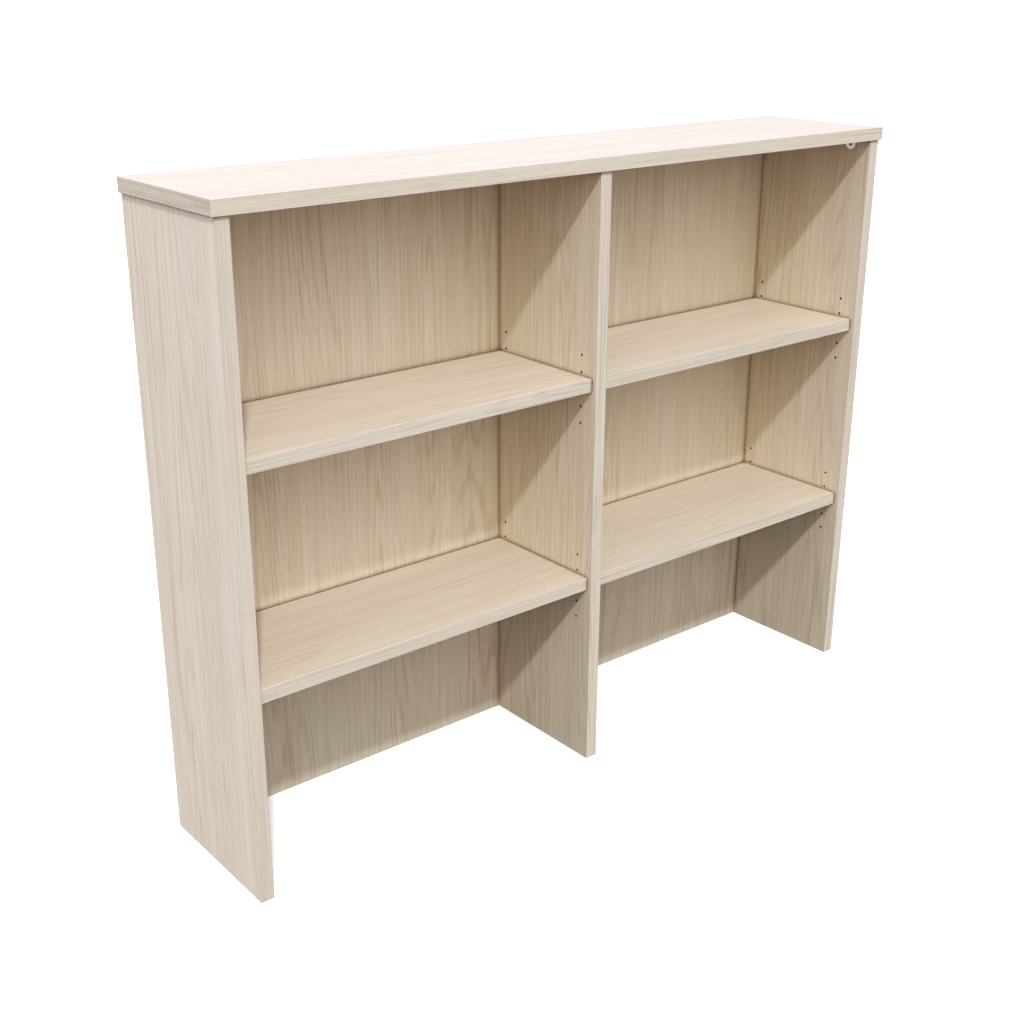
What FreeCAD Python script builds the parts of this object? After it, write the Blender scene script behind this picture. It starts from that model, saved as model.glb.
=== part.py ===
import FreeCAD
import Part
import os

# Desk hutch: an open bookcase that stands on a desk. Two bays side by side, each with a back
# panel and two adjustable shelves, under one top panel.
#
# Millimetres. Origin: the middle of the footprint, on the surface the hutch stands on.
# +X runs to the right along the hutch, +Y to its back, +Z up. The open front faces -Y.

# Overall size
WIDTH = 1500.0
DEPTH = 300.0
HEIGHT = 1165.0

# Boards
BOARD = 25.0
BACK_BOARD = 18.0
TOP_OVERHANG = 5.0
BACK_INSET = 2.0

# Edge bands
BAND = 2.0
THIN_BAND = 1.0
BAND_ROUND = 0.9
THIN_BAND_ROUND = 0.4

# Shelves: height of each underside, and the play around them
SHELF_UNDERSIDES = {"lower": 361.5, "upper": 750.0}
SHELF_FRONT_SETBACK = 10.0
SHELF_REAR_GAP = 5.0
SHELF_END_GAP = 1.0

# Holes for the shelf supports: blind in the two sides, right through the divider
HOLE_RADIUS = 2.5
BLIND_HOLE_DEPTH = 11.0
HOLE_PITCH = 32.0
HOLE_STEPS = (-2, -1, 0, 1, 2)
HOLE_COLUMNS_FROM_FRONT = (39.5, 254.5)
HOLE_BELOW_UNDERSIDE = 0.8

# Shelf support: a pin in the hole, a plate against the upright and a tongue under the shelf
SUPPORT_PIN_RADIUS = 2.4
SUPPORT_PIN_LENGTH = 9.0
SUPPORT_PLATE = 1.5
SUPPORT_WIDTH = 12.0
SUPPORT_DROP = 11.0
SUPPORT_TONGUE = 1.6
SUPPORT_REACH = 14.0

# Panel connector: a round housing let into one board, a turning cam inside it, and a bolt
# that stands out of the other board and that the cam grips
HOUSING_BORE_RADIUS = 10.0
HOUSING_BORE_DEPTH = 13.0
HOUSING_FROM_EDGE = 9.5
HOUSING_RADIUS = 9.95
HOUSING_DEPTH = 12.9
HOUSING_FLOOR = 0.9
FLANGE_RADIUS = 11.0
FLANGE_THICK = 0.6
EDGE_CLEARANCE = 0.1
CAM_RADIUS = 5.9
CAM_BORE_RADIUS = 6.1
CAM_FRONT = 0.3
CAM_END = -11.6
CAM_FACE_THICK = 3.7
CAM_CAVITY_RADIUS = 4.4
CAM_TURN = 180.0
CAM_SLOT_MARGIN = 30.0
CAM_SLOT_HALF_WIDTH = 2.2
HEAD_WAY_HALF_WIDTH = 3.8
CROSS_LENGTH = 6.6
CROSS_WIDTH = 1.3
CROSS_DEPTH = 2.4
BOLT_AXIS_DEPTH = 7.5
BOLT_HEAD_RADIUS = 3.5
BOLT_NECK_RADIUS = 1.8
BOLT_COLLAR_RADIUS = 3.4
BOLT_COLLAR_THICK = 1.1
BOLT_THREAD_RADIUS = 2.45
BOLT_THREAD_LENGTH = 10.5
BOLT_HOLE_RADIUS = 2.5
BOLT_HOLE_DEPTH = 11.0

# Wooden dowels
DOWEL_RADIUS = 3.95
DOWEL_END_GAP = 0.5
DOWEL_HOLE_RADIUS = 4.0
DOWEL_HOLE_LONG = 19.0
DOWEL_HOLE_SHORT = 11.0

# Places of the hardware
TOP_CONNECTORS_FROM_FRONT = {"front": 48.0, "rear": 235.0}
TOP_DOWELS_FROM_FRONT = (95.0, 190.0)
BACK_CONNECTOR_HEIGHTS = {"upper": 1040.0, "lower": 100.0}
BACK_DOWEL_HEIGHTS = (420.0, 820.0)

# Worked out from the dimensions above
SPARE = 1.0
REAR = DEPTH / 2
TOP_FRONT = -DEPTH / 2
TOP_UNDERSIDE = HEIGHT - BOARD
UPRIGHT_FRONT = TOP_FRONT + TOP_OVERHANG
SIDE_OUTER = WIDTH / 2 - TOP_OVERHANG
SIDE_INNER = SIDE_OUTER - BOARD
BACK_REAR = REAR - BACK_INSET
BACK_FRONT = BACK_REAR - BACK_BOARD
BACK_MIDDLE = BACK_REAR - BACK_BOARD / 2
SHELF_FRONT = UPRIGHT_FRONT + SHELF_FRONT_SETBACK
SHELF_REAR = BACK_FRONT - SHELF_REAR_GAP

RIGHT = FreeCAD.Vector(1, 0, 0)
LEFT = FreeCAD.Vector(-1, 0, 0)
BACKWARD = FreeCAD.Vector(0, 1, 0)
UP = FreeCAD.Vector(0, 0, 1)

# Each upright board: its two faces across X
UPRIGHTS = {
    "left_side": (-SIDE_OUTER, -SIDE_INNER),
    "centre_divider": (-BOARD / 2, BOARD / 2),
    "right_side": (SIDE_INNER, SIDE_OUTER),
}

# Each bay: the uprights on its left and right, whose facing sides bound it
BAYS = {
    "left": ("left_side", "centre_divider"),
    "right": ("centre_divider", "right_side"),
}

# The face each upright is drilled from, and the way it faces
DRILLED_FACES = {
    "left_side": (-SIDE_INNER, RIGHT),
    "centre_divider": (BOARD / 2, RIGHT),
    "right_side": (SIDE_INNER, LEFT),
}


def box(x, y, z):
    """A block between the low and high values of x, y and z."""
    corner = FreeCAD.Vector(x[0], y[0], z[0])
    return Part.makeBox(x[1] - x[0], y[1] - y[0], z[1] - z[0], corner)


def rod(radius, start, direction, length):
    return Part.makeCylinder(radius, length, start, direction)


def cut_all(solid, tools):
    return solid.cut(Part.makeCompound(tools)) if tools else solid


def export(name, solids):
    shape = solids[0] if len(solids) == 1 else Part.makeCompound(solids)
    shape.exportStep("parts/" + name + ".step")


def edge_runs_along(edge, axis):
    first, last = (vertex.Point for vertex in edge.Vertexes)
    return abs((last - first).normalize().dot(axis)) > 0.5


def edge_lies_on(edge, normal, face_place):
    return all(abs(vertex.Point.dot(normal) - face_place) < 0.01 for vertex in edge.Vertexes)


def rounded_band(x, y, z, outward, radius, only_along=None):
    """An edge band whose outer face has rounded edges: all four, or only those along one axis."""
    band = box(x, y, z)
    face_place = max(vertex.Point.dot(outward) for vertex in band.Vertexes)
    edges = [edge for edge in band.Edges if edge_lies_on(edge, outward, face_place)]
    if only_along:
        edges = [edge for edge in edges if edge_runs_along(edge, only_along)]
    return band.makeFillet(radius, edges)


def bay_walls(bay):
    """The x of a bay's left and right walls."""
    left_upright, right_upright = BAYS[bay]
    return UPRIGHTS[left_upright][1], UPRIGHTS[right_upright][0]


def wall_faces(bay):
    """Each wall of a bay: its upright, its x and the way it faces."""
    left_upright, right_upright = BAYS[bay]
    left_x, right_x = bay_walls(bay)
    return [(left_upright, left_x, RIGHT), (right_upright, right_x, LEFT)]


# Shelf supports and their holes

def hole_places():
    """The y of each column and the z of each hole, level by level."""
    for from_front in HOLE_COLUMNS_FROM_FRONT:
        for underside in SHELF_UNDERSIDES.values():
            for step in HOLE_STEPS:
                z = underside - HOLE_BELOW_UNDERSIDE + step * HOLE_PITCH
                yield UPRIGHT_FRONT + from_front, z


def support_holes(upright):
    face_x, facing = DRILLED_FACES[upright]
    depth = BOARD + SPARE if upright == "centre_divider" else BLIND_HOLE_DEPTH
    holes = []
    for y, z in hole_places():
        bottom = FreeCAD.Vector(face_x, y, z) - facing * depth
        holes.append(rod(HOLE_RADIUS, bottom, facing, depth + SPARE))
    return holes


def shelf_support(face_x, facing, y, underside):
    pin_z = underside - HOLE_BELOW_UNDERSIDE
    pin_end = FreeCAD.Vector(face_x, y, pin_z) - facing * SUPPORT_PIN_LENGTH
    pin = rod(SUPPORT_PIN_RADIUS, pin_end, facing, SUPPORT_PIN_LENGTH + SUPPORT_PLATE / 2)
    half_width = SUPPORT_WIDTH / 2
    plate_x = sorted((face_x, face_x + facing.x * SUPPORT_PLATE))
    plate = box(plate_x, (y - half_width, y + half_width), (pin_z - SUPPORT_DROP, underside))
    round_x = face_x + facing.x * (SUPPORT_REACH - half_width)
    tongue_x = sorted((face_x, round_x))
    tongue_low = underside - SUPPORT_TONGUE
    tongue = box(tongue_x, (y - half_width, y + half_width), (tongue_low, underside))
    nose = rod(half_width, FreeCAD.Vector(round_x, y, tongue_low), UP, SUPPORT_TONGUE)
    return pin.multiFuse([plate, tongue, nose]).removeSplitter()


# Panel connector, drawn in its own frame: the housing's axis is Z, the board's face is z = 0
# with the board below it, and the bolt leaves through the board's edge, along +Y

def connector_recess():
    bore = rod(HOUSING_BORE_RADIUS, UP * -HOUSING_BORE_DEPTH, UP, HOUSING_BORE_DEPTH + SPARE)
    half = HEAD_WAY_HALF_WIDTH
    way = box((-half, half), (0, HOUSING_FROM_EDGE + SPARE), bolt_band(half))
    return bore.fuse(way)


def bolt_band(half_width):
    """The low and high z of a slot centred on the bolt."""
    return (-BOLT_AXIS_DEPTH - half_width, -BOLT_AXIS_DEPTH + half_width)


def connector_housing():
    body = rod(HOUSING_RADIUS, UP * -HOUSING_DEPTH, UP, HOUSING_DEPTH)
    flange = rod(FLANGE_RADIUS, FreeCAD.Vector(0, 0, 0), UP, FLANGE_THICK)
    cam_bore_depth = HOUSING_DEPTH - HOUSING_FLOOR
    cam_bore = rod(CAM_BORE_RADIUS, UP * -cam_bore_depth, UP, cam_bore_depth + SPARE)
    half = HEAD_WAY_HALF_WIDTH
    way = box((-half, half), (0, FLANGE_RADIUS), bolt_band(half))
    edge = HOUSING_FROM_EDGE - EDGE_CLEARANCE
    reach = FLANGE_RADIUS + SPARE
    beyond_edge = box((-reach, reach), (edge, reach), (-HOUSING_DEPTH - SPARE, SPARE))
    return body.fuse(flange).cut(Part.makeCompound([cam_bore, way, beyond_edge]))


def connector_cam():
    """A cup whose wall is slotted, so it turns half a turn around the bolt's neck."""
    body = rod(CAM_RADIUS, UP * CAM_END, UP, CAM_FRONT - CAM_END)
    cavity_top = CAM_FRONT - CAM_FACE_THICK
    cavity = rod(CAM_CAVITY_RADIUS, UP * (CAM_END - SPARE), UP, cavity_top - CAM_END + SPARE)
    slot_low, slot_high = bolt_band(CAM_SLOT_HALF_WIDTH)
    slot_angle = CAM_TURN + 2 * CAM_SLOT_MARGIN
    slot_base = UP * slot_low
    slot_height = slot_high - slot_low
    slot = Part.makeCylinder(CAM_RADIUS + SPARE, slot_height, slot_base, UP, slot_angle)
    slot.rotate(FreeCAD.Vector(0, 0, 0), UP, -slot_angle / 2)
    half = HEAD_WAY_HALF_WIDTH
    head_way = box((-half, half), (-CAM_RADIUS - SPARE, 0), bolt_band(half))
    cross_z = (CAM_FRONT - CROSS_DEPTH, CAM_FRONT + SPARE)
    long_cross = (-CROSS_LENGTH / 2, CROSS_LENGTH / 2)
    short_cross = (-CROSS_WIDTH / 2, CROSS_WIDTH / 2)
    cross = [box(long_cross, short_cross, cross_z), box(short_cross, long_cross, cross_z)]
    return cut_all(body, [cavity, slot, head_way] + cross)


def connector_bolt():
    centre = UP * -BOLT_AXIS_DEPTH
    head = Part.makeSphere(BOLT_HEAD_RADIUS, centre)
    neck = rod(BOLT_NECK_RADIUS, centre, BACKWARD, HOUSING_FROM_EDGE)
    collar_start = centre + BACKWARD * (HOUSING_FROM_EDGE - BOLT_COLLAR_THICK)
    collar = rod(BOLT_COLLAR_RADIUS, collar_start, BACKWARD, BOLT_COLLAR_THICK)
    thread_start = centre + BACKWARD * HOUSING_FROM_EDGE
    thread = rod(BOLT_THREAD_RADIUS, thread_start, BACKWARD, BOLT_THREAD_LENGTH)
    return head.multiFuse([neck, collar, thread])


def connector_bolt_hole():
    start = UP * -BOLT_AXIS_DEPTH + BACKWARD * (HOUSING_FROM_EDGE - SPARE)
    return rod(BOLT_HOLE_RADIUS, start, BACKWARD, BOLT_HOLE_DEPTH + SPARE)


def placed(shape, place):
    """A connector piece moved to (centre on the board's face, facing, way to the edge)."""
    centre, facing, to_edge = place
    turn = FreeCAD.Rotation(to_edge.cross(facing), to_edge, facing, "ZYX")
    moved = shape.copy()
    moved.Placement = FreeCAD.Placement(centre, turn)
    return moved


def top_connector_places(upright):
    face_x, facing = DRILLED_FACES[upright]
    places = {}
    for end, from_front in TOP_CONNECTORS_FROM_FRONT.items():
        z = TOP_UNDERSIDE - HOUSING_FROM_EDGE
        centre = FreeCAD.Vector(face_x, UPRIGHT_FRONT + from_front, z)
        places[end] = (centre, facing, UP)
    return places


def back_connector_places(bay):
    """Connectors in a back panel's rear face, along its two upright edges."""
    places = {}
    for edge_name, (_, wall_x, facing) in zip(("left", "right"), wall_faces(bay)):
        for level, z in BACK_CONNECTOR_HEIGHTS.items():
            centre = FreeCAD.Vector(wall_x + facing.x * HOUSING_FROM_EDGE, BACK_REAR, z)
            places[edge_name + "_" + level] = (centre, BACKWARD, facing * -1)
    return places


# Dowels, each given by its place in the joint, the way it points and the two hole depths

def top_dowel_places(upright):
    """Dowels that stand in an upright's top edge and enter the top panel."""
    middle = sum(UPRIGHTS[upright]) / 2
    for from_front in TOP_DOWELS_FROM_FRONT:
        yield FreeCAD.Vector(middle, UPRIGHT_FRONT + from_front, TOP_UNDERSIDE), UP


def back_dowel_places(bay):
    """Dowels that stand in a back panel's upright edges and enter the uprights."""
    for _, wall_x, facing in wall_faces(bay):
        for z in BACK_DOWEL_HEIGHTS:
            yield FreeCAD.Vector(wall_x, BACK_MIDDLE, z), facing * -1


def dowel(joint, direction):
    long_end = DOWEL_HOLE_LONG - DOWEL_END_GAP
    short_end = DOWEL_HOLE_SHORT - DOWEL_END_GAP
    return rod(DOWEL_RADIUS, joint - direction * long_end, direction, long_end + short_end)


def dowel_hole(joint, direction):
    """One drilling through both boards of the joint, long end first."""
    start = joint - direction * DOWEL_HOLE_LONG
    return rod(DOWEL_HOLE_RADIUS, start, direction, DOWEL_HOLE_LONG + DOWEL_HOLE_SHORT)


# Boards

def make_top():
    core_x = (-WIDTH / 2 + BAND, WIDTH / 2 - BAND)
    core_y = (TOP_FRONT + BAND, REAR - BAND)
    z = (TOP_UNDERSIDE, HEIGHT)
    drilled = []
    for upright in UPRIGHTS:
        drilled += [placed(connector_bolt_hole(), p) for p in top_connector_places(upright).values()]
        drilled += [dowel_hole(*place) for place in top_dowel_places(upright)]
    export("top_panel", [cut_all(box(core_x, core_y, z), drilled)])
    full_x = (-WIDTH / 2, WIDTH / 2)
    front_y = (TOP_FRONT, TOP_FRONT + BAND)
    rear_y = (REAR - BAND, REAR)
    left_x = (-WIDTH / 2, -WIDTH / 2 + BAND)
    right_x = (WIDTH / 2 - BAND, WIDTH / 2)
    export("top_front_edge_band", [rounded_band(full_x, front_y, z, BACKWARD * -1, BAND_ROUND)])
    export("top_rear_edge_band", [rounded_band(full_x, rear_y, z, BACKWARD, BAND_ROUND)])
    export("top_left_edge_band", [rounded_band(left_x, core_y, z, LEFT, BAND_ROUND, BACKWARD)])
    export("top_right_edge_band", [rounded_band(right_x, core_y, z, RIGHT, BAND_ROUND, BACKWARD)])


def upright_drillings(name):
    drilled = support_holes(name)
    for bay in BAYS:
        drilled += [placed(connector_bolt_hole(), p) for p in back_connector_places(bay).values()]
        drilled += [dowel_hole(*place) for place in back_dowel_places(bay)]
    drilled += [placed(connector_recess(), p) for p in top_connector_places(name).values()]
    drilled += [dowel_hole(*place) for place in top_dowel_places(name)]
    return drilled


def make_upright(name):
    x = UPRIGHTS[name]
    core_y = (UPRIGHT_FRONT + BAND, REAR - BAND)
    full_z = (0, TOP_UNDERSIDE)
    core = box(x, core_y, (BAND, TOP_UNDERSIDE))
    export(name, [cut_all(core, upright_drillings(name))])
    front_y = (UPRIGHT_FRONT, UPRIGHT_FRONT + BAND)
    rear_y = (REAR - BAND, REAR)
    front = rounded_band(x, front_y, full_z, BACKWARD * -1, BAND_ROUND, UP)
    rear = rounded_band(x, rear_y, full_z, BACKWARD, BAND_ROUND, UP)
    export(name + "_front_edge_band", [front])
    export(name + "_rear_edge_band", [rear])
    export(name + "_bottom_edge_band", [box(x, core_y, (0, BAND))])


def make_back(bay):
    x = bay_walls(bay)
    y = (BACK_FRONT, BACK_REAR)
    core = box(x, y, (BAND, TOP_UNDERSIDE))
    drilled = [placed(connector_recess(), p) for p in back_connector_places(bay).values()]
    drilled += [dowel_hole(*place) for place in back_dowel_places(bay)]
    export(bay + "_back_panel", [cut_all(core, drilled)])
    export(bay + "_back_bottom_edge_band", [box(x, y, (0, BAND))])


def make_shelf(level, bay):
    left_wall, right_wall = bay_walls(bay)
    x = (left_wall + SHELF_END_GAP, right_wall - SHELF_END_GAP)
    inner_x = (x[0] + THIN_BAND, x[1] - THIN_BAND)
    inner_y = (SHELF_FRONT + BAND, SHELF_REAR - THIN_BAND)
    z = (SHELF_UNDERSIDES[level], SHELF_UNDERSIDES[level] + BOARD)
    name = level + "_" + bay + "_shelf"
    export(name, [box(inner_x, inner_y, z)])
    front = rounded_band(x, (SHELF_FRONT, inner_y[0]), z, BACKWARD * -1, BAND_ROUND)
    rear = rounded_band(x, (inner_y[1], SHELF_REAR), z, BACKWARD, THIN_BAND_ROUND)
    left = rounded_band((x[0], inner_x[0]), inner_y, z, LEFT, THIN_BAND_ROUND, BACKWARD)
    right = rounded_band((inner_x[1], x[1]), inner_y, z, RIGHT, THIN_BAND_ROUND, BACKWARD)
    export(name + "_edge_bands", [front, rear, left, right])


def make_supports(level, bay):
    supports = []
    for _, wall_x, facing in wall_faces(bay):
        for from_front in HOLE_COLUMNS_FROM_FRONT:
            y = UPRIGHT_FRONT + from_front
            supports.append(shelf_support(wall_x, facing, y, SHELF_UNDERSIDES[level]))
    export(level + "_" + bay + "_shelf_supports", supports)


# Connectors

def make_top_connectors():
    bolts = []
    for upright in UPRIGHTS:
        places = top_connector_places(upright)
        housings = [placed(connector_housing(), place) for place in places.values()]
        export(upright + "_connector_housings", housings)
        for end, place in places.items():
            export(upright + "_" + end + "_cam", [placed(connector_cam(), place)])
            bolts.append(placed(connector_bolt(), place))
    export("top_connecting_bolts", bolts)


def make_back_connectors(bay):
    places = back_connector_places(bay)
    housings = [placed(connector_housing(), place) for place in places.values()]
    export(bay + "_back_connector_housings", housings)
    bolts = [placed(connector_bolt(), place) for place in places.values()]
    export(bay + "_back_connecting_bolts", bolts)
    for where, place in places.items():
        export(bay + "_back_" + where + "_cam", [placed(connector_cam(), place)])


def make_dowels():
    top_dowels = [dowel(*place) for upright in UPRIGHTS for place in top_dowel_places(upright)]
    export("top_dowels", top_dowels)
    for bay in BAYS:
        export(bay + "_back_dowels", [dowel(*place) for place in back_dowel_places(bay)])


def main():
    os.makedirs("parts", exist_ok=True)
    make_top()
    for upright in UPRIGHTS:
        make_upright(upright)
    for bay in BAYS:
        make_back(bay)
        make_back_connectors(bay)
        for level in SHELF_UNDERSIDES:
            make_shelf(level, bay)
            make_supports(level, bay)
    make_top_connectors()
    make_dowels()


main()
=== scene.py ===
import bpy
from math import radians, tau
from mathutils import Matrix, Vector


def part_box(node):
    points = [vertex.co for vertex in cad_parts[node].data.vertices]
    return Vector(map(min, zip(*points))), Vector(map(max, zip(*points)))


# Looks for the desk hutch: pale oak melamine boards and edge bands, white connectors, zinc parts.
# Metres, in the CAD model's frame: +X right, +Y to the back, +Z up; the open front faces -Y.

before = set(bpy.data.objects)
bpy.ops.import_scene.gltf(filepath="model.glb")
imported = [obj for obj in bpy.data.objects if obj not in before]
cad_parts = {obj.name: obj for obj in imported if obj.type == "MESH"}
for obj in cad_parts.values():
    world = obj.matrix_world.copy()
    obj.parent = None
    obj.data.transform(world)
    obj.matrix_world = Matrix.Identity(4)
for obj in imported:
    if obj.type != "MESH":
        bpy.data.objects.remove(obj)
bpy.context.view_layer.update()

UPRIGHTS = ("left_side", "centre_divider", "right_side")
BAYS = ("left", "right")
LEVELS = ("upper", "lower")
SKIN_TOLERANCE = 0.00002

# Light: how bright the sky is all round, and what each side of it adds
SKY_EVEN = 0.66
SKY_ZENITH = 0.42
SKY_FRONT = 0.85
SKY_LEFT = 0.70
SKY_BACK = 0.45
SKY_BELOW = 0.08
SKY_FADE = (-0.12, -0.02)
KEY_STRENGTH = 1.8
KEY_TRAVEL = Vector((0.325, 0.57, -0.755))
KEY_SOFTNESS = radians(2.5)
SHADOW_CURVE = ((0.1, 0.068), (0.2, 0.168), (0.35, 0.340), (0.6, 0.60))

# Floor
FLOOR_SIZE = 240.0
FLOOR_DROP = 0.0002
FLOOR_WHITE = (0.93, 0.93, 0.93, 1.0)
FLOOR_GLOW = 0.3

# Camera
CAMERA_PLACE = (-1.6668, -1.9119, 1.4619)
CAMERA_DIP = radians(20.649)
CAMERA_TURN = radians(38.898)
CAMERA_LENS = 49.32
CAMERA_SENSOR = 36.0
CAMERA_SHIFT = (0.01524, -0.0146)
CAMERA_REACH = 400.0

# Oak colours: the dark lines, the wood between them, and the streaks and fine pale lines in it
OAK_LINE = (0.43, 0.32, 0.215)
OAK_MAIN = (0.69, 0.595, 0.475)
OAK_PALE = (0.80, 0.735, 0.645)
OAK_PINK = (0.72, 0.585, 0.475)
OAK_GREY = (0.64, 0.585, 0.49)

# Oak print: how often each pattern varies, per metre across the grain and along it
SWELL_SCALE = (13.0, 0.8)
WAVER_SCALE = (60.0, 5.0)
PATCH_SCALE = (10.0, 0.9)
FIBRE_SCALE = (520.0, 3.5)
PORE_SCALE = (900.0, 34.0)
PALE_SCALE = (38.0, 0.9)
PINK_SCALE = (45.0, 1.3)
GREY_SCALE = (14.0, 0.7)
PINK_OFFSET = (7.3, 2.1, 5.9)
GREY_OFFSET = (3.1, 9.4, 1.7)

# Growth rings: how many a full swell makes, and how much a waver bends them
SWELL_RINGS = 20.0
WAVER_RINGS = 0.7

# Oak print: how strongly each pattern shows, from 0 to 1
PALE_SHARE = 0.28
PINK_SHARE = 0.4
GREY_SHARE = 0.35
FIBRE_SHARE = 0.26
PALE_LINE_SHARE = 0.42
PORE_SHARE = 0.25
PORE_DEPTH = 0.8
FIBRE_DEPTH = 0.3

# Where in the endless print each board is cut, one step further for every board or band
CUT_STEP = (0.913, 0.377, 2.71)
FIRST_BAND_CUT = 21

# How strongly the growth rings show on upright boards, on boards along X, and on edge bands
UPRIGHT_FIGURE = 0.40
LEVEL_FIGURE = 0.2
BAND_FIGURE = 0.35

# Painted light and shade: boards, and edge bands against boards, made lighter, darker or bluer where
# light falls on them differently
PLAIN = (1.0, 1.0, 1.0)
BAND_PAINTED_LIGHT = (0.95, 0.98, 1.02)
BOARD_PAINTED_LIGHT = {
    "top_panel": (0.93, 0.98, 1.12),
    "left_side": (1.15, 1.18, 1.24),
    "left_back_panel": (1.03, 1.02, 1.01),
    "right_back_panel": (1.0, 0.99, 0.97),
    "lower_left_shelf": (0.94, 0.94, 0.94),
    "lower_right_shelf": (0.94, 0.95, 0.95),
}

# Painted shade in inside corners: its colour, how far from a corner the wood starts to darken, and how
# openness to the air sets the share
PAINTED_CORNER_SHADE = (0.30, 0.21, 0.13)
CORNER_REACH = 0.013
CORNER_OPENNESS = (0.15, 0.85)
CORNER_SAMPLES = 6


# Small helpers for node trees

class Tree:
    """A node tree under construction. A socket, a number or a tuple can feed any input."""

    def __init__(self, tree):
        self.tree = tree

    def add(self, kind, inputs=None, **settings):
        node = self.tree.nodes.new(kind)
        for key, value in settings.items():
            setattr(node, key, value)
        for key, value in (inputs or {}).items():
            self.feed(node.inputs[key], value)
        return node

    def feed(self, socket, value):
        if isinstance(value, bpy.types.NodeSocket):
            self.tree.links.new(value, socket)
        elif socket.type == "RGBA" and len(value) == 3:
            socket.default_value = (*value, 1.0)
        else:
            socket.default_value = value

    def math(self, operation, first, second=0.0):
        return self.add("ShaderNodeMath", {0: first, 1: second}, operation=operation).outputs[0]

    def vector(self, operation, first, second):
        node = self.add("ShaderNodeVectorMath", {0: first, 1: second}, operation=operation)
        return node.outputs[0]

    def noise(self, vector, detail=2.0, roughness=0.5, distortion=0.0):
        inputs = {"Vector": vector, "Scale": 1.0, "Detail": detail,
                  "Roughness": roughness, "Distortion": distortion}
        return self.add("ShaderNodeTexNoise", inputs).outputs["Fac"]

    def remap(self, value, low, high, to_low=0.0, to_high=1.0, smooth=False):
        inputs = {"Value": value, "From Min": low, "From Max": high,
                  "To Min": to_low, "To Max": to_high}
        kind = "SMOOTHSTEP" if smooth else "LINEAR"
        return self.add("ShaderNodeMapRange", inputs, interpolation_type=kind).outputs["Result"]

    def mix(self, share, first, second, blend="MIX"):
        node = self.add("ShaderNodeMix", data_type="RGBA", blend_type=blend)
        for index, value in ((0, share), (6, first), (7, second)):
            self.feed(node.inputs[index], value)
        return node.outputs[2]


def new_material(name):
    material = bpy.data.materials.new(name)
    material.use_nodes = True
    tree = Tree(material.node_tree)
    shader = material.node_tree.nodes["Principled BSDF"]
    return material, tree, shader


# Oak melamine

def make_grain_group():
    """Colour, roughness and height of the oak print. Its input is (across, depth, along) in metres."""
    group = bpy.data.node_groups.new("oak_grain", "ShaderNodeTree")
    group.interface.new_socket("Place", in_out="INPUT", socket_type="NodeSocketVector")
    group.interface.new_socket("Figure", in_out="INPUT", socket_type="NodeSocketFloat")
    group.interface.new_socket("Color", in_out="OUTPUT", socket_type="NodeSocketColor")
    group.interface.new_socket("Roughness", in_out="OUTPUT", socket_type="NodeSocketFloat")
    group.interface.new_socket("Height", in_out="OUTPUT", socket_type="NodeSocketFloat")
    tree = Tree(group)
    given = tree.add("NodeGroupInput").outputs
    place = given["Place"]
    figure = given["Figure"]

    def stretched(scale):
        across, along = scale
        return tree.vector("MULTIPLY", place, (across, across, along))

    # Growth rings: contour lines of a long, slow noise make straight lines and tall pointed arches
    swell = tree.noise(stretched(SWELL_SCALE), detail=1.0, roughness=0.3)
    waver = tree.noise(stretched(WAVER_SCALE), detail=2.0)
    swell_rings = tree.math("MULTIPLY", swell, SWELL_RINGS)
    rings = tree.math("ADD", swell_rings, tree.math("MULTIPLY", waver, WAVER_RINGS))
    wave = tree.math("SINE", tree.math("MULTIPLY", rings, tau))
    ring_lines = tree.remap(wave, 0.1, 1.0, smooth=True)
    ring_patches = tree.remap(tree.noise(stretched(PATCH_SCALE), detail=1.0), 0.36, 0.56)

    # Fibres: fine lines along the board, and short dark pores among them
    fibres = tree.noise(stretched(FIBRE_SCALE), detail=3.0, roughness=0.65)
    fibre_lines = tree.remap(fibres, 0.50, 0.64)
    pale_lines = tree.remap(fibres, 0.47, 0.37)
    pores = tree.remap(tree.noise(stretched(PORE_SCALE), detail=1.0), 0.60, 0.72, smooth=True)

    # Streaks: bands some centimetres wide that lean to pale, pink or grey
    pale = tree.remap(tree.noise(stretched(PALE_SCALE), detail=2.0), 0.46, 0.70)
    pink = tree.noise(tree.vector("ADD", stretched(PINK_SCALE), PINK_OFFSET))
    pink = tree.remap(pink, 0.50, 0.66)
    grey = tree.noise(tree.vector("ADD", stretched(GREY_SCALE), GREY_OFFSET))
    grey = tree.remap(grey, 0.5, 0.72)

    color = tree.mix(tree.math("MULTIPLY", pale, PALE_SHARE), OAK_MAIN, OAK_PALE)
    color = tree.mix(tree.math("MULTIPLY", pink, PINK_SHARE), color, OAK_PINK)
    color = tree.mix(tree.math("MULTIPLY", grey, GREY_SHARE), color, OAK_GREY)
    ring_share = tree.math("MULTIPLY", tree.math("MULTIPLY", ring_lines, ring_patches), figure)
    ring_share = tree.math("MULTIPLY", ring_share, tree.remap(fibres, 0.36, 0.6, 0.25, 1.0))
    color = tree.mix(ring_share, color, OAK_LINE)
    color = tree.mix(tree.math("MULTIPLY", fibre_lines, FIBRE_SHARE), color, OAK_LINE)
    color = tree.mix(tree.math("MULTIPLY", pale_lines, PALE_LINE_SHARE), color, OAK_PALE)
    color = tree.mix(tree.math("MULTIPLY", pores, PORE_SHARE), color, OAK_LINE)

    height = tree.math("SUBTRACT", 1.0, tree.math("MULTIPLY", pores, PORE_DEPTH))
    height = tree.math("SUBTRACT", height, tree.math("MULTIPLY", fibre_lines, FIBRE_DEPTH))
    roughness = tree.remap(fibres, 0.3, 0.7, 0.46, 0.58)
    tree.add("NodeGroupOutput", {"Color": color, "Roughness": roughness, "Height": height})
    return group


GRAIN = make_grain_group()
ALONG_AXES = {"x": ("Y", "Z", "X"), "y": ("X", "Z", "Y"), "z": ("X", "Y", "Z")}


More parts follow.
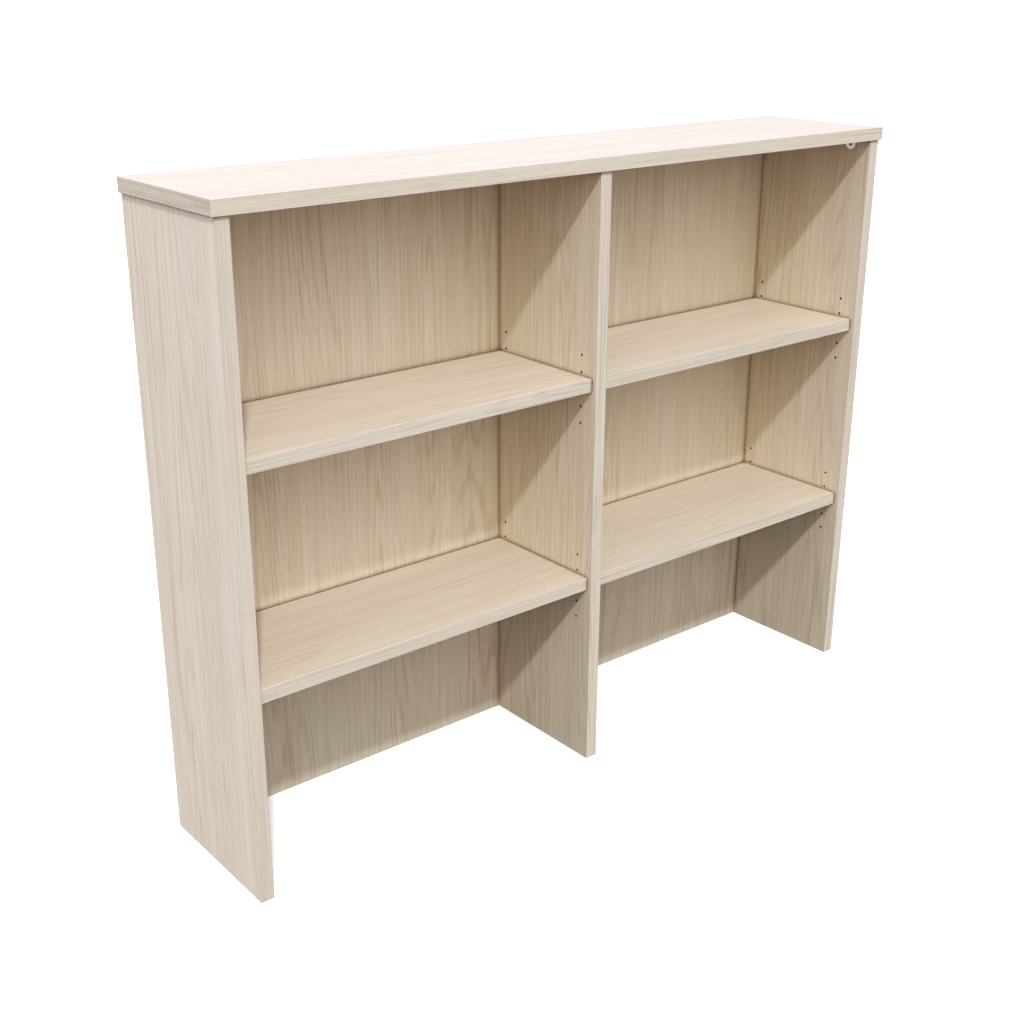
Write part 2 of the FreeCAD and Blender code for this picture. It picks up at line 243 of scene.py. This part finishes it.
def oak(name, along, number, figure, painted_light_tint):
    """Oak melamine with its grain along one axis, cut from its own place in the pattern, with painted
    light and painted corner shade.
    """
    material, tree, shader = new_material(name)
    place = tree.add("ShaderNodeTexCoord").outputs["Object"]
    parts = tree.add("ShaderNodeSeparateXYZ", {0: place}).outputs
    across, depth, length = ALONG_AXES[along]
    turned = tree.add("ShaderNodeCombineXYZ", {0: parts[across], 1: parts[depth], 2: parts[length]})
    offset = [step * number for step in CUT_STEP]
    grain = tree.add("ShaderNodeGroup", node_tree=GRAIN)
    tree.feed(grain.inputs["Place"], tree.vector("ADD", turned.outputs[0], offset))
    grain.inputs["Figure"].default_value = figure
    # Painted light and shade: the oak colour is multiplied by the board's or band's painted light tint
    color = tree.mix(1.0, grain.outputs["Color"], painted_light_tint, blend="MULTIPLY")
    # Painted shade: the wood is darkened towards inside corners, more where less of the air around is
    # open
    openness = tree.add("ShaderNodeAmbientOcclusion", {"Distance": CORNER_REACH},
                        samples=CORNER_SAMPLES)
    corner_shaded_color = tree.mix(1.0, color, PAINTED_CORNER_SHADE, blend="MULTIPLY")
    color = tree.mix(tree.remap(openness.outputs["AO"], *CORNER_OPENNESS), corner_shaded_color, color)
    tree.feed(shader.inputs["Base Color"], color)
    tree.feed(shader.inputs["Roughness"], grain.outputs["Roughness"])
    bump = tree.add("ShaderNodeBump", {"Strength": 0.35, "Distance": 0.0001,
                                       "Height": grain.outputs["Height"]})
    tree.feed(shader.inputs["Normal"], bump.outputs[0])
    return material


def make_chipboard():
    material, tree, shader = new_material("chipboard")
    place = tree.add("ShaderNodeTexCoord").outputs["Object"]
    chips = tree.add("ShaderNodeTexVoronoi", {"Vector": place, "Scale": 700.0})
    fine = tree.noise(tree.vector("MULTIPLY", place, (1500.0, 1500.0, 1500.0)), detail=3.0)
    # Chipboard brown, darker than bare chipboard: partly its own colour, partly painted shade in the
    # drillings
    color = tree.mix(chips.outputs["Distance"], (0.16, 0.10, 0.055), (0.30, 0.21, 0.13))
    color = tree.mix(tree.remap(fine, 0.55, 0.75), color, (0.08, 0.05, 0.03))
    tree.feed(shader.inputs["Base Color"], color)
    shader.inputs["Roughness"].default_value = 0.85
    bump = tree.add("ShaderNodeBump", {"Strength": 0.6, "Distance": 0.0003, "Height": fine})
    tree.feed(shader.inputs["Normal"], bump.outputs[0])
    return material


def make_plastic():
    """White moulded plastic: faint mottling, a fine satin texture and a faint painted glow."""
    material, tree, shader = new_material("white_plastic")
    place = tree.add("ShaderNodeTexCoord").outputs["Object"]
    cloud = tree.noise(tree.vector("MULTIPLY", place, (160.0, 160.0, 160.0)), detail=3.0)
    fine = tree.noise(tree.vector("MULTIPLY", place, (4000.0, 4000.0, 4000.0)), detail=2.0)
    tree.feed(shader.inputs["Base Color"], tree.mix(cloud, (0.90, 0.90, 0.90), (0.95, 0.95, 0.95)))
    # Painted light: a faint glow keeps the plastic bright white even in shade, though it is no lamp
    tree.feed(shader.inputs["Emission Color"], (1.0, 0.98, 0.97))
    shader.inputs["Emission Strength"].default_value = 0.22
    tree.feed(shader.inputs["Roughness"], tree.remap(cloud, 0.3, 0.7, 0.32, 0.44))
    bump = tree.add("ShaderNodeBump", {"Strength": 0.2, "Distance": 0.00005, "Height": fine})
    tree.feed(shader.inputs["Normal"], bump.outputs[0])
    return material


def make_metal(name, pale, dark, rough, scale):
    """Zinc: clouded, with fine scratches and a grainy cast or plated surface."""
    material, tree, shader = new_material(name)
    place = tree.add("ShaderNodeTexCoord").outputs["Object"]
    cloud = tree.noise(tree.vector("MULTIPLY", place, (scale, scale, scale)), detail=4.0, roughness=0.6)
    scratches = tree.noise(tree.vector("MULTIPLY", place, (4000.0, 260.0, 900.0)), detail=2.0)
    tree.feed(shader.inputs["Base Color"], tree.mix(tree.remap(cloud, 0.35, 0.7), dark, pale))
    shader.inputs["Metallic"].default_value = 1.0
    tree.feed(shader.inputs["Roughness"], tree.remap(cloud, 0.3, 0.7, rough, rough + 0.14))
    bump = tree.add("ShaderNodeBump", {"Strength": 0.25, "Distance": 0.00004, "Height": scratches})
    tree.feed(shader.inputs["Normal"], bump.outputs[0])
    return material


def make_beech():
    """Bare beech for the dowels, with its short dark flecks."""
    material, tree, shader = new_material("bare_beech")
    place = tree.add("ShaderNodeTexCoord").outputs["Object"]
    flecks = tree.noise(tree.vector("MULTIPLY", place, (900.0, 900.0, 260.0)), detail=2.0)
    color = tree.mix(tree.remap(flecks, 0.5, 0.7), (0.66, 0.47, 0.28), (0.42, 0.27, 0.15))
    tree.feed(shader.inputs["Base Color"], color)
    shader.inputs["Roughness"].default_value = 0.7
    bump = tree.add("ShaderNodeBump", {"Strength": 0.3, "Distance": 0.0001, "Height": flecks})
    tree.feed(shader.inputs["Normal"], bump.outputs[0])
    return material


# Giving each CAD node its material

def finish_with(node, material):
    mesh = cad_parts[node].data
    mesh.materials.clear()
    mesh.materials.append(material)
    return mesh


def finish_board(node, material, chipboard):
    """The printed finish on a board's outer faces, bare chipboard inside its drillings."""
    mesh = finish_with(node, material)
    mesh.materials.append(chipboard)
    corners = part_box(node)
    for polygon in mesh.polygons:
        near = (abs(polygon.center[axis] - corner[axis]) for corner in corners for axis in range(3))
        polygon.material_index = 0 if min(near) < SKIN_TOLERANCE else 1


def finish_everything():
    chipboard = make_chipboard()
    plastic = make_plastic()
    cast_zinc = make_metal("cast_zinc", (0.84, 0.83, 0.86), (0.66, 0.66, 0.69), 0.55, 500.0)
    plated_steel = make_metal("plated_steel", (0.76, 0.77, 0.79), (0.58, 0.60, 0.62), 0.26, 220.0)
    beech = make_beech()

    boards = {"top_panel": "x"}
    bands = {"top_front_edge_band": "x", "top_rear_edge_band": "x",
             "top_left_edge_band": "y", "top_right_edge_band": "y"}
    for upright in UPRIGHTS:
        boards[upright] = "z"
        bands[upright + "_front_edge_band"] = "z"
        bands[upright + "_rear_edge_band"] = "z"
        bands[upright + "_bottom_edge_band"] = "y"
    for bay in BAYS:
        boards[bay + "_back_panel"] = "z"
        bands[bay + "_back_bottom_edge_band"] = "x"
        for level in LEVELS:
            shelf = level + "_" + bay + "_shelf"
            boards[shelf] = "x"
            bands[shelf + "_edge_bands"] = "x"
    for number, (node, along) in enumerate(boards.items()):
        figure = UPRIGHT_FIGURE if along == "z" else LEVEL_FIGURE
        painted_light_tint = BOARD_PAINTED_LIGHT.get(node, PLAIN)
        finish_board(node, oak("oak_" + node, along, number + 1, figure, painted_light_tint), chipboard)
    for number, (node, along) in enumerate(bands.items()):
        cut = number + FIRST_BAND_CUT
        finish_with(node, oak("oak_" + node, along, cut, BAND_FIGURE, BAND_PAINTED_LIGHT))

    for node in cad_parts:
        if node.endswith("_connector_housings"):
            finish_with(node, plastic)
        elif node.endswith("_cam"):
            finish_with(node, cast_zinc)
        elif node.endswith("_bolts") or node.endswith("_supports"):
            finish_with(node, plated_steel)
        elif node.endswith("_dowels"):
            finish_with(node, beech)


# Floor, light and camera

def make_floor():
    bpy.ops.mesh.primitive_plane_add(size=FLOOR_SIZE, location=(0.0, 0.0, -FLOOR_DROP))
    floor = bpy.context.object
    floor.name = "floor"
    material, _, shader = new_material("floor_white")
    shader.inputs["Base Color"].default_value = FLOOR_WHITE
    shader.inputs["Roughness"].default_value = 0.9
    shader.inputs["Emission Color"].default_value = (1.0, 1.0, 1.0, 1.0)
    shader.inputs["Emission Strength"].default_value = FLOOR_GLOW
    floor.data.materials.append(material)
    floor.visible_diffuse = False
    floor.visible_glossy = False
    floor.visible_shadow = False


def make_sky():
    """Soft light from all round, stronger from above, from the front, from the left and from behind."""
    world = bpy.data.worlds.new("studio")
    bpy.context.scene.world = world
    world.use_nodes = True
    tree = Tree(world.node_tree)
    direction = tree.add("ShaderNodeTexCoord").outputs["Generated"]
    x, y, z = tree.add("ShaderNodeSeparateXYZ", {0: direction}).outputs

    def lobe(component, strength):
        squared = tree.math("POWER", tree.math("MAXIMUM", component, 0.0), 2.0)
        return tree.math("MULTIPLY", squared, strength)

    upper = tree.math("ADD", lobe(z, SKY_ZENITH), SKY_EVEN)
    upper = tree.math("ADD", upper, lobe(tree.math("MULTIPLY", y, -1.0), SKY_FRONT))
    upper = tree.math("ADD", upper, lobe(tree.math("MULTIPLY", x, -1.0), SKY_LEFT))
    upper = tree.math("ADD", upper, lobe(y, SKY_BACK))
    above = tree.remap(z, *SKY_FADE)
    below = tree.math("SUBTRACT", 1.0, above)
    strength = tree.math("MULTIPLY", upper, above)
    strength = tree.math("ADD", strength, tree.math("MULTIPLY", below, SKY_BELOW))
    tree.feed(world.node_tree.nodes["Background"].inputs["Strength"], strength)
    world.node_tree.nodes["Background"].inputs["Color"].default_value = (1.0, 1.0, 1.0, 1.0)


def make_key():
    key = bpy.data.objects.new("key", bpy.data.lights.new("key", "SUN"))
    key.data.energy = KEY_STRENGTH
    key.data.angle = KEY_SOFTNESS
    key.rotation_euler = KEY_TRAVEL.to_track_quat("-Z", "Y").to_euler()
    bpy.context.scene.collection.objects.link(key)


def make_camera():
    camera = bpy.data.objects.new("camera", bpy.data.cameras.new("camera"))
    camera.location = CAMERA_PLACE
    camera.rotation_euler = (radians(90.0) - CAMERA_DIP, 0.0, -CAMERA_TURN)
    camera.data.lens = CAMERA_LENS
    camera.data.sensor_width = CAMERA_SENSOR
    camera.data.shift_x, camera.data.shift_y = CAMERA_SHIFT
    camera.data.clip_end = CAMERA_REACH
    bpy.context.scene.collection.objects.link(camera)
    bpy.context.scene.camera = camera


def set_tones():
    """A plain view with slightly deeper shadows."""
    view = bpy.context.scene.view_settings
    view.view_transform = "Standard"
    view.use_curve_mapping = True
    curve = view.curve_mapping.curves[3]
    for value, result in SHADOW_CURVE:
        curve.points.new(value, result)
    view.curve_mapping.update()


finish_everything()
make_floor()
make_sky()
make_key()
make_camera()
set_tones()
